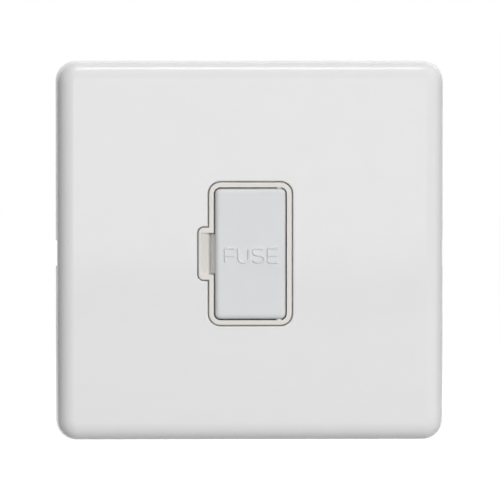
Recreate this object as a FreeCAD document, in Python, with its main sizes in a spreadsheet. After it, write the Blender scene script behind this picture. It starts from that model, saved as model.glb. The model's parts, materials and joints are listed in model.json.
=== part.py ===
import FreeCAD, Part
import os
import re
import Sketcher

# Fused spur unit: a clip-on front plate, a steel mounting frame behind it, and a two-part
# moulded module that holds the terminals, the fuse contacts and a hinged fuse carrier.
#
# Frame: +Z is up, the front faces -Y and +X is to the right. The wall is the plane Y = 0.
# The origin is the middle of the two box fixings, in the wall plane. All lengths are in mm.

# Driving sizes
SIZES = {
    # Front plate, pressed in metal and painted
    "plate_width": 87.8,
    "plate_height": 86.0,
    "plate_depth": 8.0,
    "plate_rise": 0.5,
    "plate_corner": 4.65,
    "plate_edge": 3.8,
    "plate_draft": 5.0,
    "plate_wall": 1.2,
    "cutout_round": 0.35,
    "notch_width": 5.8,
    "notch_depth": 3.8,
    # Bezel of the module, seen through the plate
    "opening_width": 16.5,
    "opening_height": 30.0,
    "opening_corner": 1.5,
    "rim_width": 1.12,
    "rim_round": 0.3,
    "rim_lip": 0.8,
    "bezel_gap": 0.22,
    "tab_reach": 2.36,
    "tab_height": 11.82,
    "tab_corner": 1.15,
    "recess_height": 9.5,
    "recess_margin": 0.55,
    "recess_step": 0.2,
    "recess_fall": 1.7,
    "recess_depth": 3.1,
    "recess_bend": 0.45,
    "recess_round": 1.2,
    "recess_relief": 0.7,
    # Fuse carrier
    "carrier_gap": 0.25,
    "carrier_proud": 0.4,
    "carrier_face": 1.8,
    "carrier_round": 1.1,
    "carrier_wall": 1.1,
    "carrier_wall_angle": 15.0,
    "hinge_inset": 1.5,
    "pip_radius": 0.6,
    "pip_length": 0.6,
    "pip_clearance": 0.06,
    "cheek_wall": 1.7,
    "pry_reach": 0.75,
    "pry_wall": 0.6,
    "pry_drop": 0.1,
    "pry_gap": 0.3,
    "pry_round": 0.2,
    "stop_angle": 60.0,
    "stop_lip": 0.45,
    "stop_lip_angle": 3.0,
    "rib_width": 3.0,
    "rib_space": 2.2,
    "rib_grip": 1.0,
    # Cartridge fuse
    "fuse_end_gap": 0.35,
    "fuse_radius": 3.175,
    "fuse_cap_length": 6.0,
    "fuse_cap_end": 0.4,
    "fuse_cap_wall": 0.275,
    "tube_bore": 1.7,
    "fuse_wire_radius": 0.15,
    "fuse_left": 2.0,
    "fuse_depth": 6.4,
    # Contacts and conductors
    "clip_gap": 0.15,
    "clip_metal": 0.6,
    "clip_inset": 2.7,
    "strip_width": 4.0,
    "strip_metal": 0.8,
    "strip_space": 1.2,
    "strip_clearance": 0.3,
    "earth_space": 2.6,
    "earth_width": 6.0,
    # Terminals
    "terminal_pitch": 15.0,
    "terminal_inset": 2.5,
    "terminal_width": 8.0,
    "terminal_depth": 9.0,
    "terminal_height": 8.0,
    "terminal_sunk": 1.5,
    "wire_bore": 2.15,
    "wire_depth": 4.7,
    "wire_entry": 2.6,
    "clamp_radius": 1.75,
    "clamp_head": 2.8,
    "clamp_head_height": 2.4,
    "clamp_length": 5.3,
    "clamp_backed_out": 0.25,
    "access_play": 0.4,
    # Module mouldings
    "module_side": 2.5,
    "terminal_end_gap": 0.5,
    "module_corner": 2.0,
    "module_wall": 2.0,
    "module_rib": 2.0,
    "chamber_back": 1.5,
    "housing_front": 2.0,
    "terminal_room": 4.5,
    "cover_back": 2.0,
    "chamber_depth": 14.5,
    "chamber_wall": 1.3,
    "shoulder_side": 2.77,
    "shoulder_top": 3.38,
    "shoulder_gap": 0.3,
    "block_rise": 9.5,
    "boss_radius": 2.6,
    # Mounting frame, folded from sheet steel
    "frame_inset": 6.0,
    "frame_metal": 1.2,
    "frame_corner": 2.5,
    "frame_window_gap": 0.5,
    "flange_gap": 0.7,
    "flange_inset": 5.0,
    "fixing_spacing": 60.3,
    "fixing_width": 4.0,
    "fixing_length": 7.0,
    # Clip liner inside the plate
    "liner_wall": 1.5,
    "liner_margin": 0.5,
    "liner_gap": 1.0,
    "leg_width": 8.0,
    "leg_inset": 13.0,
    "leg_metal": 1.3,
    "leg_gap": 0.15,
    "leg_end": 0.6,
    "barb_reach": 0.7,
    "barb_slope": 1.2,
    "barb_flat": 0.4,
    "barb_play": 0.3,
    "catch_room": 0.2,
    "catch_margin": 1.0,
    "catch_play": 0.6,
    # Screws
    "small_screw": 1.1,
    "small_hole": 1.3,
    "small_head": 2.3,
    "small_head_height": 1.2,
    "screw_slot": 0.8,
    "screw_slot_depth": 0.7,
    "screw_inset": 4.5,
    "screw_margin": 3.9,
    "frame_screw_length": 6.0,
    "cover_screw_bite": 4.0,
    "head_recess": 1.6,
    "head_play": 0.3,
    # Earth bonding of the metal parts
    "bond_offset": 2.0,
    "bond_radius": 1.4,
    "bond_hole": 1.6,
    "bond_head": 2.6,
    "bond_head_height": 1.4,
    "bond_bite": 1.4,
    "spring_inset": 14.0,
    "spring_foot": 5.0,
    "spring_run": 4.5,
    "spring_tail": 2.5,
    "spring_metal": 0.3,
    "spring_drop": 10.0,
    "spring_width": 5.0,
    "spring_dip": 0.8,
    "spring_play": 1.5,
    "rivet_radius": 1.0,
    "rivet_head": 1.7,
    "rivet_head_height": 0.6,
}

# Sizes that follow from the driving ones and their clearances
DERIVED = {
    "fuse_length": "opening_height - 2 * (carrier_gap + cheek_wall + fuse_end_gap)",
    "tube_radius": "fuse_radius - fuse_cap_wall",
    "clip_place": "fuse_length / 2 - clip_inset",
    "rib_place": "fuse_length / 2 - fuse_cap_length - rib_space - rib_width / 2",
    "shoulder_width": "opening_width + 2 * (rim_width + tab_reach + shoulder_side)",
    "shoulder_height": "opening_height + 2 * (rim_width + shoulder_top)",
    "shoulder_depth": "plate_depth - plate_wall - liner_wall - shoulder_gap",
    "housing_depth": "chamber_depth - plate_depth + chamber_back",
    "terminal_rise": "opening_height / 2 + terminal_inset + terminal_height / 2",
    "terminal_front": "housing_depth - terminal_sunk",
    "strip_level": "housing_depth + strip_space",
    "earth_level": "strip_level + strip_metal + earth_space",
    "cover_depth": "terminal_front + terminal_depth + terminal_room + cover_back - housing_depth",
    "clamp_access": "clamp_head + access_play",
    "module_width": "3 * terminal_pitch - module_rib + 2 * module_side",
    "module_height": "2 * (terminal_rise + terminal_height / 2 + terminal_end_gap + module_wall)",
    "frame_width": "plate_width - 2 * frame_inset",
    "frame_height": "plate_height - 2 * frame_inset",
    "flange_depth": "plate_depth - plate_wall - liner_wall - flange_gap",
    "flange_length": "frame_height - 2 * flange_inset",
    "leg_place": "frame_height / 2 - leg_inset",
    "catch_high": "flange_depth - catch_margin",
    "barb_top": "catch_high - barb_play",
    "barb_level": "barb_top - barb_flat",
    "barb_start": "barb_level - barb_slope",
    "catch_low": "barb_start - catch_room",
    "screw_across": "module_width / 2 - screw_inset",
    "frame_screw_rise": "block_rise + screw_margin",
    "bond_rise": "terminal_rise + bond_offset",
    "spring_left": "frame_width / 2 - spring_inset",
    "spring_low": "frame_height / 2 - spring_drop",
}

# Levels measured from the wall plane towards the front
CARRIER_FRONT = "(plate_depth + carrier_proud)"
CARRIER_BACK = "(plate_depth + carrier_proud - carrier_face)"
PLATE_INSIDE = "(plate_depth - plate_wall)"
LINER_BACK = "(plate_depth - plate_wall - liner_wall)"

# Half sizes and places that several pieces share
BEZEL_HALF = "(opening_width / 2 + rim_width)"
BEZEL_TOP = "(opening_height / 2 + rim_width)"
TAB_SIDE = "(opening_width / 2 + rim_width + tab_reach)"
CARRIER_HALF = "(opening_width / 2 - carrier_gap)"
CARRIER_TOP = "(opening_height / 2 - carrier_gap)"
HINGE_X = "(opening_width / 2 - carrier_gap - hinge_inset)"
HINGE_Y = "(hinge_inset - plate_depth - carrier_proud)"
SWEEP = "(opening_width - 2 * carrier_gap - hinge_inset)"
FUSE_Y = "(fuse_depth - plate_depth)"
CHAMBER_FLOOR = "(chamber_depth - plate_depth)"
COVER_REAR = "(housing_depth + cover_depth)"
COVER_INSIDE = "(housing_depth + cover_depth - cover_back)"
TERMINAL_INNER = "(terminal_rise - terminal_height / 2)"
CAVITY_TOP = "(module_height / 2 - module_wall)"
CAVITY_SIDE = "(module_width / 2 - module_wall)"
CAVITY_INNER = "(terminal_rise - terminal_height / 2 - strip_clearance)"
RIB_INNER = "(terminal_rise - terminal_height / 2 - strip_clearance - module_rib)"
WIRE_Y = "(terminal_front + wire_depth)"
CLAMP_TIP = "(terminal_front + wire_depth + wire_bore + clamp_backed_out)"
FRAME_SIDE = "(frame_width / 2)"
LEG_SIDE = "(frame_width / 2 + leg_gap)"

SAME = 1e-5

document = FreeCAD.newDocument("fused_spur_unit")
sheet = document.addObject("Spreadsheet::Sheet", "Sizes")
for row, (alias, number) in enumerate(SIZES.items(), start=1):
    sheet.set(f"A{row}", alias)
    sheet.set(f"B{row}", str(number))
    sheet.setAlias(f"B{row}", alias)
document.recompute()

nodes = []


def cells(text):
    """Turn each size name in an expression into its cell, or into what it follows from."""

    def resolve(word):
        name = word.group()
        return f"({cells(DERIVED[name])})" if name in DERIVED else "Sizes." + name

    return re.sub(r"\b[a-z]\w+\b(?!\()", resolve, text)


def measure(text):
    """Work out an expression of size names as a number."""
    return float(sheet.evalExpression(cells(text)))


def bind(item, **texts):
    """Bind properties of an object to expressions of size names."""
    for name, text in texts.items():
        item.setExpression(name, cells(text))


def place(item, across, depth, up):
    """Bind an object's position to three expressions."""
    for axis, text in zip("xyz", (across, depth, up)):
        item.setExpression("Placement.Base." + axis, cells(text))


def keep(item, label):
    """Give a finished sub-part its label and list it for export."""
    item.Label = label
    nodes.append(item)
    return item


# Sketches and features of a body


def new_body(label):
    """Start a sub-part that is built from sketched features."""
    body = document.addObject("PartDesign::Body", label)
    return keep(body, label)


def sketch_on(body, role, level="0"):
    """Add a sketch on an origin plane of the body, moved along its normal by level."""
    sketch = body.newObject("Sketcher::SketchObject", "profile")
    plane = [item for item in body.Origin.OriginFeatures if item.Role == role][0]
    sketch.AttachmentSupport = (plane, [""])
    sketch.MapMode = "FlatFace"
    sketch.setExpression("AttachmentOffset.Base.z", cells(level))
    return sketch


def front_sketch(body, level="0"):
    """Add a sketch seen from the front; level is measured from the wall to the front."""
    return sketch_on(body, "XZ_Plane", level)


def plan_sketch(body, level="0"):
    """Add a sketch seen from above; level is its height."""
    return sketch_on(body, "XY_Plane", level)


def pin_point(sketch, curve, end, across, up):
    """Hold one point of a curve at a pair of expressions."""
    for kind, text in (("DistanceX", across), ("DistanceY", up)):
        number = sketch.addConstraint(Sketcher.Constraint(kind, curve, end, measure(text)))
        sketch.setExpression(f"Constraints[{number}]", cells(text))


def spot(across, up):
    """Return the point at a pair of expressions."""
    return FreeCAD.Vector(measure(across), measure(up), 0)


def add_outline(sketch, points, arcs=None):
    """Draw a closed outline; the run after a point is an arc where arcs gives its centre."""
    arcs = arcs or {}
    first = sketch.GeometryCount
    spots = [spot(*point) for point in points]
    starts, ends = [], []
    for index, begin in enumerate(spots):
        end = spots[(index + 1) % len(spots)]
        if index in arcs:
            middle = spot(*arcs[index])
            outwards = (begin - middle) + (end - middle)
            half_way = middle + outwards.normalize() * (begin - middle).Length
            sketch.addGeometry(Part.Arc(begin, half_way, end), False)
        else:
            sketch.addGeometry(Part.LineSegment(begin, end), False)
        turned = (sketch.getPoint(first + index, 1) - begin).Length > SAME
        starts.append(2 if turned else 1)
        ends.append(1 if turned else 2)
    for index, point in enumerate(points):
        last = (index - 1) % len(points)
        sketch.addConstraint(
            Sketcher.Constraint(
                "Coincident", first + last, ends[last], first + index, starts[index]
            )
        )
        pin_point(sketch, first + index, starts[index], *point)
    for index, centre in arcs.items():
        pin_centre(sketch, first + index, centre[0])


def pin_centre(sketch, curve, across):
    """Hold the centre of an arc whose ends are already held."""
    number = sketch.addConstraint(Sketcher.Constraint("DistanceX", curve, 3, measure(across)))
    sketch.setExpression(f"Constraints[{number}]", cells(across))


def add_rectangle(sketch, left, low, right, high):
    """Draw a rectangle between two corners."""
    add_outline(sketch, [(left, low), (right, low), (right, high), (left, high)])


def add_circle(sketch, across, up, radius):
    """Draw a circle with its centre and radius bound to expressions."""
    circle = Part.Circle(spot(across, up), FreeCAD.Vector(0, 0, 1), measure(radius))
    curve = sketch.addGeometry(circle, False)
    pin_point(sketch, curve, 3, across, up)
    number = sketch.addConstraint(Sketcher.Constraint("Radius", curve, measure(radius)))
    sketch.setExpression(f"Constraints[{number}]", cells(radius))


def add_rounded(sketch, left, low, right, high, radius):
    """Draw a rectangle between two corners with rounded corners."""
    first = sketch.GeometryCount
    near_left, near_right = f"{left} + ({radius})", f"{right} - ({radius})"
    near_low, near_high = f"{low} + ({radius})", f"{high} - ({radius})"
    runs = [
        ((near_left, low), (near_right, low), near_right, (1, -1)),
        ((right, near_low), (right, near_high), near_right, (1, 1)),
        ((near_right, high), (near_left, high), near_left, (-1, 1)),
        ((left, near_high), (left, near_low), near_left, (-1, -1)),
    ]
    reach = measure(radius)
    for index, (begin, end, middle, way) in enumerate(runs):
        following = spot(*runs[(index + 1) % 4][0])
        centre = spot(middle, near_low if way[1] < 0 else near_high)
        half_way = centre + FreeCAD.Vector(*way, 0).normalize() * reach
        sketch.addGeometry(Part.LineSegment(spot(*begin), spot(*end)), False)
        sketch.addGeometry(Part.Arc(spot(*end), half_way, following), False)
    for index, (begin, end, middle, way) in enumerate(runs):
        line, corner = first + 2 * index, first + 2 * index + 1
        following = first + (2 * index + 2) % 8
        pin_point(sketch, line, 1, *begin)
        pin_point(sketch, line, 2, *end)
        sketch.addConstraint(Sketcher.Constraint("Coincident", line, 2, corner, 1))
        sketch.addConstraint(Sketcher.Constraint("Coincident", corner, 2, following, 1))
        pin_centre(sketch, corner, middle)


def add_slot(sketch, across, length, width):
    """Draw a round-ended slot that lies level, with its centre on the horizontal axis."""
    first = sketch.GeometryCount
    left = f"{across} - ({length} - {width}) / 2"
    right = f"{across} + ({length} - {width}) / 2"
    half = f"({width}) / 2"
    corners = [(left, f"-{half}"), (right, f"-{half}"), (right, half), (left, half)]
    spots = [spot(*corner) for corner in corners]
    tips = [spot(f"{right} + {half}", "0"), spot(f"{left} - {half}", "0")]
    sketch.addGeometry(Part.LineSegment(spots[0], spots[1]), False)
    sketch.addGeometry(Part.Arc(spots[1], tips[0], spots[2]), False)
    sketch.addGeometry(Part.LineSegment(spots[2], spots[3]), False)
    sketch.addGeometry(Part.Arc(spots[3], tips[1], spots[0]), False)
    for curve in range(4):
        following = (curve + 1) % 4
        sketch.addConstraint(
            Sketcher.Constraint("Coincident", first + curve, 2, first + following, 1)
        )
    for curve, end, corner in ((0, 1, 0), (0, 2, 1), (2, 1, 2), (2, 2, 3)):
        pin_point(sketch, first + curve, end, *corners[corner])
    for curve, text in ((1, right), (3, left)):
        pin_centre(sketch, first + curve, text)


def finish(body, feature, grows):
    """Recompute a feature and make sure that it adds or removes material."""
    before = body.Tip.BaseFeature
    document.recompute()
    if feature.Shape.isNull() or not feature.isValid():
        raise RuntimeError(f"{body.Label}: {feature.Name} has no valid shape")
    if before is None:
        return feature
    change = feature.Shape.Volume - before.Shape.Volume
    if (change > 0) != grows or abs(change) < SAME:
        raise RuntimeError(f"{body.Label}: {feature.Name} changes the volume by {change}")
    return feature


def pad(body, sketch, length, taper="0"):
    """Add material from a sketch along its normal."""
    feature = body.newObject("PartDesign::Pad", "pad")
    feature.Profile = sketch
    bind(feature, Length=length, TaperAngle=taper)
    return finish(body, feature, True)


def pocket(body, sketch, length, along_normal=False, taper="0"):
    """Remove material from a sketch, against its normal or along it."""
    feature = body.newObject("PartDesign::Pocket", "pocket")
    feature.Profile = sketch
    feature.Reversed = along_normal
    bind(feature, Length=length, TaperAngle=taper)
    return finish(body, feature, False)


def dress(body, kind, radius, chosen):
    """Round or bevel the edges that chosen accepts."""
    base = body.Tip
    edges = [
        f"Edge{number}" for number, edge in enumerate(base.Shape.Edges, start=1) if chosen(edge)
    ]
    if not edges:
        raise RuntimeError(f"{body.Label}: no edge to finish with {radius}")
    feature = body.newObject("PartDesign::" + kind, kind.lower())
    feature.Base = (base, edges)
    bind(feature, **{"Radius" if kind == "Fillet" else "Size": radius})
    document.recompute()
    if feature.Shape.isNull() or not feature.isValid():
        raise RuntimeError(f"{body.Label}: {feature.Name} has no valid shape")
    return feature


def round_edges(body, radius, chosen):
    """Fillet the edges that chosen accepts."""
    return dress(body, "Fillet", radius, chosen)


def bevel_edges(body, size, chosen):
    """Chamfer the edges that chosen accepts."""
    return dress(body, "Chamfer", size, chosen)


def near(value, text):
    """Tell whether a number equals an expression."""
    return abs(value - measure(text)) < 1e-3


def is_level(edge, text):
    """Tell whether an edge lies whole in one plane parallel to the wall."""
    box = edge.BoundBox
    return near(-box.YMin, text) and near(-box.YMax, text)


def runs_to_front(edge):
    """Tell whether an edge is a straight line square to the wall."""
    box = edge.BoundBox
    return box.XLength < 1e-3 and box.ZLength < 1e-3 and box.YLength > 1e-3


def stands_at(edge, across, up):
    """Tell whether an edge square to the wall stands at a given place, on any side."""
    box = edge.BoundBox
    return runs_to_front(edge) and near(abs(box.XMin), across) and near(abs(box.ZMin), up)


# Solids made from plain primitives


def block(left, near_wall, low, right, far_wall, high):
    """Make a box between two corners, given as expressions."""
    box = document.addObject("Part::Box", "block")
    place(box, left, near_wall, low)
    bind(
        box,
        Length=f"({right}) - ({left})",
        Width=f"({far_wall}) - ({near_wall})",
        Height=f"({high}) - ({low})",
    )
    return box


def deep_rod(across, up, radius, start, end):
    """Make a cylinder square to the wall, from depth start to depth end."""
    rod = document.addObject("Part::Cylinder", "rod")
    turn = FreeCAD.Rotation(FreeCAD.Vector(1, 0, 0), -90)
    rod.Placement = FreeCAD.Placement(FreeCAD.Vector(0, 0, 0), turn)
    place(rod, across, start, up)
    bind(rod, Radius=radius, Height=f"({end}) - ({start})")
    return rod


def upright_rod(across, depth, radius, low, high):
    """Make an upright cylinder between two heights."""
    rod = document.addObject("Part::Cylinder", "rod")
    place(rod, across, depth, low)
    bind(rod, Radius=radius, Height=f"({high}) - ({low})")
    return rod


def join(parts):
    """Fuse solids into one."""
    result = document.addObject("Part::MultiFuse", "joined")
    result.Shapes = parts
    result.Refine = True
    return result


def subtract(base, tools):
    """Cut one or more solids out of a base."""
    result = document.addObject("Part::Cut", "cut")
    result.Base = base
    result.Tool = tools[0] if len(tools) == 1 else join(tools)
    return result


def screw(across, up, shank, head, tip, seat, head_height):
    """Make a slotted screw square to the wall, its head on the seat's side away from the tip."""
    outwards = 1 if measure(seat) > measure(tip) else -1
    sign = "+" if outwards > 0 else "-"
    top = f"({seat}) {sign} ({head_height})"
    slot_floor = f"({top}) {'-' if outwards > 0 else '+'} screw_slot_depth"
    ends = (tip, seat) if outwards > 0 else (seat, tip)
    head_ends = (seat, top) if outwards > 0 else (top, seat)
    slot_ends = (slot_floor, top) if outwards > 0 else (top, slot_floor)
    body = join(
        [deep_rod(across, up, shank, *ends), deep_rod(across, up, head, *head_ends)]
    )
    slot = block(
        f"({across}) - ({head})",
        slot_ends[0],
        f"({up}) - screw_slot / 2",
        f"({across}) + ({head})",
        slot_ends[1],
        f"({up}) + screw_slot / 2",
    )
    return subtract(body, [slot])


def group(parts, label):
    """Keep like fasteners together as separate solids in one node."""
    compound = document.addObject("Part::Compound", label)
    compound.Links = parts
    return keep(compound, label)


# Places of the repeated pieces
TERMINAL_COLUMNS = ("-terminal_pitch", "0", "terminal_pitch")
TERMINAL_SIDES = ("", "-")
TERMINAL_SPOTS = [
    (column, f"{side}terminal_rise") for side in TERMINAL_SIDES for column in TERMINAL_COLUMNS
]
SCREW_SPOTS = [
    (f"{across}screw_across", f"{up}frame_screw_rise") for across in ("-", "") for up in ("-", "")
]
COVER_SCREW_SPOTS = [(f"{side}screw_across", "0") for side in ("-", "")]


def bezel_outline(grow):
    """Return the corners of the bezel and its tab, grown outwards by a clearance."""
    side = f"{BEZEL_HALF} + {grow}"
    top = f"{BEZEL_TOP} + {grow}"
    tab = f"-({TAB_SIDE} + {grow})"
    half_tab = f"tab_height / 2 + {grow}"
    return [
        (f"-({side})", f"-({top})"),
        (side, f"-({top})"),
        (side, top),
        (f"-({side})", top),
        (f"-({side})", half_tab),
        (tab, half_tab),
        (tab, f"-({half_tab})"),
        (f"-({side})", f"-({half_tab})"),
    ]


def round_bezel(body, grow):
    """Round the four main corners and the two tab corners of a bezel outline."""
    side, top = f"{BEZEL_HALF} + {grow}", f"{BEZEL_TOP} + {grow}"
    tab, half_tab = f"{TAB_SIDE} + {grow}", f"tab_height / 2 + {grow}"
    corner = f"opening_corner + rim_width + {grow}"
    round_edges(body, corner, lambda edge: stands_at(edge, side, top))
    round_edges(body, f"tab_corner + {grow}", lambda edge: stands_at(edge, tab, half_tab))


def front_plate():
    """The plate: a drafted shell with a rolled front edge, a cut-out and two pry notches."""
    body = new_body("front_plate")
    outline = front_sketch(body)
    half = "plate_width / 2"
    low, high = "plate_rise - plate_height / 2", "plate_rise + plate_height / 2"
    add_rectangle(outline, f"-{half}", low, half, high)
    pad(body, outline, "plate_depth", "-plate_draft")
    round_edges(body, "plate_corner", lambda edge: edge.BoundBox.YLength > 1)
    round_edges(body, "plate_edge", lambda edge: is_level(edge, "plate_depth"))

    hollow = front_sketch(body)
    inner = "(plate_width / 2 - plate_wall)"
    corner = "plate_corner - plate_wall"
    add_rounded(hollow, f"-{inner}", f"{low} + plate_wall", inner, f"{high} - plate_wall", corner)
    pocket(body, hollow, PLATE_INSIDE, along_normal=True, taper="-plate_draft")
    round_edges(body, "plate_edge - plate_wall", lambda edge: is_level(edge, PLATE_INSIDE))

    cutout = front_sketch(body)
    add_outline(cutout, bezel_outline("bezel_gap"))
    pocket(body, cutout, "plate_depth", along_normal=True)
    round_bezel(body, "bezel_gap")
    reach = measure(TAB_SIDE) + measure("bezel_gap") + SAME
    round_edges(
        body,
        "cutout_round",
        lambda edge: is_level(edge, "plate_depth") and abs(edge.BoundBox.XMin) <= reach,
    )

    notches = front_sketch(body)
    for side in ("-", ""):
        edges = sorted(
            [f"{side}(plate_width / 2 - 2 * plate_wall)", f"{side}(plate_width / 2 + plate_wall)"],
            key=measure,
        )
        add_rectangle(notches, edges[0], "-notch_width / 2", edges[1], "notch_width / 2")
    pocket(body, notches, "notch_depth", along_normal=True)


def plate_liner():
    """The plastic liner bonded inside the plate, with four barbed legs that snap on the frame."""
    body = new_body("plate_liner")
    panel = front_sketch(body, LINER_BACK)
    side = "(plate_width / 2 - plate_edge - liner_margin)"
    low = "plate_rise - plate_height / 2 + plate_edge + liner_margin"
    high = "plate_rise + plate_height / 2 - plate_edge - liner_margin"
    add_rectangle(panel, f"-{side}", low, side, high)
    pad(body, panel, "liner_wall")
    round_edges(body, "plate_corner", runs_to_front)

    window = front_sketch(body, LINER_BACK)
    top = f"{BEZEL_TOP} + liner_gap"
    add_rectangle(
        window, f"-({TAB_SIDE} + liner_gap)", f"-({top})", f"{BEZEL_HALF} + liner_gap", top
    )
    spring_end = "spring_left + spring_foot + spring_run + spring_tail + spring_play"
    add_rectangle(
        window,
        "spring_left + spring_foot - spring_play",
        "spring_low - spring_play",
        spring_end,
        "spring_low + spring_width + spring_play",
    )
    pocket(body, window, "liner_wall", along_normal=True)

    for side in ("", "-"):
        for up in ("", "-"):
            leg = plan_sketch(body, f"{up}leg_place - leg_width / 2")
            inner, outer = f"{side}{LEG_SIDE}", f"{side}({LEG_SIDE} + leg_metal)"
            tip = f"{side}({LEG_SIDE} - barb_reach)"
            points = [
                (inner, f"-({LINER_BACK} + liner_wall / 2)"),
                (outer, f"-({LINER_BACK} + liner_wall / 2)"),
                (outer, "-leg_end"),
                (inner, "-leg_end"),
                (inner, "-barb_start"),
                (tip, "-barb_level"),
                (tip, "-barb_top"),
                (inner, "-barb_top"),
            ]
            add_outline(leg, points)
            pad(body, leg, "leg_width")


def mounting_frame():
    """The steel frame: a flat grid with a window, two fixing slots and two folded flanges."""
    body = new_body("mounting_frame")
    sheet_metal = front_sketch(body)
    add_rectangle(
        sheet_metal, f"-{FRAME_SIDE}", "-frame_height / 2", FRAME_SIDE, "frame_height / 2"
    )
    pad(body, sheet_metal, "frame_metal")
    round_edges(body, "frame_corner", runs_to_front)

    flanges = front_sketch(body)
    inner = f"({FRAME_SIDE} - frame_metal)"
    half = "flange_length / 2"
    add_rectangle(flanges, f"-{FRAME_SIDE}", f"-{half}", f"-{inner}", half)
    add_rectangle(flanges, inner, f"-{half}", FRAME_SIDE, half)
    pad(body, flanges, "flange_depth")

    holes = front_sketch(body)
    side = "shoulder_width / 2 + frame_window_gap"
    top = "shoulder_height / 2 + frame_window_gap"
    add_rectangle(holes, f"-({side})", f"-({top})", side, top)
    for across in ("-", ""):
        add_slot(holes, f"{across}fixing_spacing / 2", "fixing_length", "fixing_width")
    for across, up in SCREW_SPOTS:
        add_circle(holes, across, up, "small_hole")
    add_circle(holes, "0", "bond_rise", "bond_hole")
    add_circle(
        holes, "spring_left + spring_foot / 2", "spring_low + spring_width / 2", "rivet_radius"
    )
    pocket(body, holes, "frame_metal", along_normal=True)

    for up in ("-", ""):
        catches = sketch_on(body, "YZ_Plane", f"-{FRAME_SIDE}")
        half = "(leg_width + catch_play) / 2"
        add_rectangle(
            catches,
            "-catch_high",
            f"{up}leg_place - {half}",
            "-catch_low",
            f"{up}leg_place + {half}",
        )
        pocket(body, catches, "frame_width", along_normal=True)


def module_cavities(body, level, depth, along_normal):
    """Cut the six terminal cavities into a moulding, from its parting face."""
    cavities = front_sketch(body, level)
    half = "((terminal_pitch - module_rib) / 2)"
    for column, rise in TERMINAL_SPOTS:
        side = rise.replace("terminal_rise", "")
        heights = sorted([f"{side}{CAVITY_INNER}", f"{side}{CAVITY_TOP}"], key=measure)
        add_rectangle(cavities, f"{column} - {half}", heights[0], f"{column} + {half}", heights[1])
    pocket(body, cavities, depth, along_normal)


def module_bosses(body, level, length):
    """Add the two screw bosses beside the middle cavities."""
    bosses = front_sketch(body, level)
    for across, up in COVER_SCREW_SPOTS:
        add_circle(bosses, across, up, "boss_radius")
    pad(body, bosses, length)


def module_housing():
    """The front moulding: module body, shoulder, bezel with tab, fuse chamber and hollows."""
    body = new_body("module_housing")
    base = front_sketch(body, "-housing_depth")
    half, top = "module_width / 2", "module_height / 2"
    add_rectangle(base, f"-{half}", f"-{top}", half, top)
    pad(body, base, "housing_depth")
    round_edges(body, "module_corner", runs_to_front)

    shoulder = front_sketch(body)
    half, top = "shoulder_width / 2", "shoulder_height / 2"
    add_rectangle(shoulder, f"-{half}", f"-{top}", half, top)
    pad(body, shoulder, "shoulder_depth")

    bezel = front_sketch(body, "shoulder_depth")
    add_outline(bezel, bezel_outline("0"))
    pad(body, bezel, "plate_depth - shoulder_depth")
    round_bezel(body, "0")
    round_edges(body, "rim_round", lambda edge: is_level(edge, "plate_depth"))

    opening = front_sketch(body, "plate_depth")
    half, top = "opening_width / 2", "opening_height / 2"
    add_rectangle(opening, f"-{half}", f"-{top}", half, top)
    pocket(body, opening, "chamber_depth")
    round_edges(body, "opening_corner", lambda edge: stands_at(edge, half, top))

    relief = front_sketch(body, "plate_depth - rim_lip")
    far = f"{CARRIER_TOP} + carrier_gap / 2"
    for side in ("", "-"):
        heights = sorted(
            [f"{side}({CARRIER_TOP} - cheek_wall - carrier_gap)", f"{side}({far})"], key=measure
        )
        add_rectangle(
            relief, "-(opening_width / 2 + recess_relief)", heights[0], "0", heights[1]
        )
    pocket(body, relief, "chamber_depth - rim_lip")
    pry_recess(body)

    hinge = plan_sketch(body, "opening_height / 2 + pip_length + carrier_gap / 2")
    add_circle(hinge, HINGE_X, HINGE_Y, "pip_radius + pip_clearance")
    pocket(body, hinge, "opening_height + 2 * pip_length + carrier_gap")

    module_cavities(body, "-housing_depth", "housing_depth - housing_front", True)
    sides = front_sketch(body, "-housing_depth")
    inner_left = "opening_width / 2 + recess_relief + chamber_wall"
    inner_right = "opening_width / 2 + chamber_wall"
    add_rectangle(
        sides, f"-{CAVITY_SIDE}", "-block_rise", f"-({inner_left})", "block_rise"
    )
    add_rectangle(sides, inner_right, "-block_rise", CAVITY_SIDE, "block_rise")
    pocket(body, sides, "housing_depth - housing_front", True)
    module_bosses(body, "-housing_depth", "housing_depth")

    slots = front_sketch(body, f"-{CHAMBER_FLOOR}")
    half = "(strip_metal / 2 + strip_clearance)"
    for side in ("", "-"):
        reach = "(strip_width / 2 + strip_clearance)"
        add_rectangle(
            slots,
            f"-{half}",
            f"{side}clip_place - {reach}",
            half,
            f"{side}clip_place + {reach}",
        )
    pocket(body, slots, f"housing_depth - {CHAMBER_FLOOR}")

    pilots = front_sketch(body)
    for across, up in SCREW_SPOTS:
        add_circle(pilots, across, up, "small_screw")
    pocket(body, pilots, "frame_screw_length")
    bond = front_sketch(body)
    add_circle(bond, "0", "bond_rise", "bond_hole")
    pocket(body, bond, "housing_front")
    rear_pilots = front_sketch(body, "-housing_depth")
    for across, up in COVER_SCREW_SPOTS:
        add_circle(rear_pilots, across, up, "small_screw")
    pocket(body, rear_pilots, "cover_screw_bite", along_normal=True)


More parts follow.
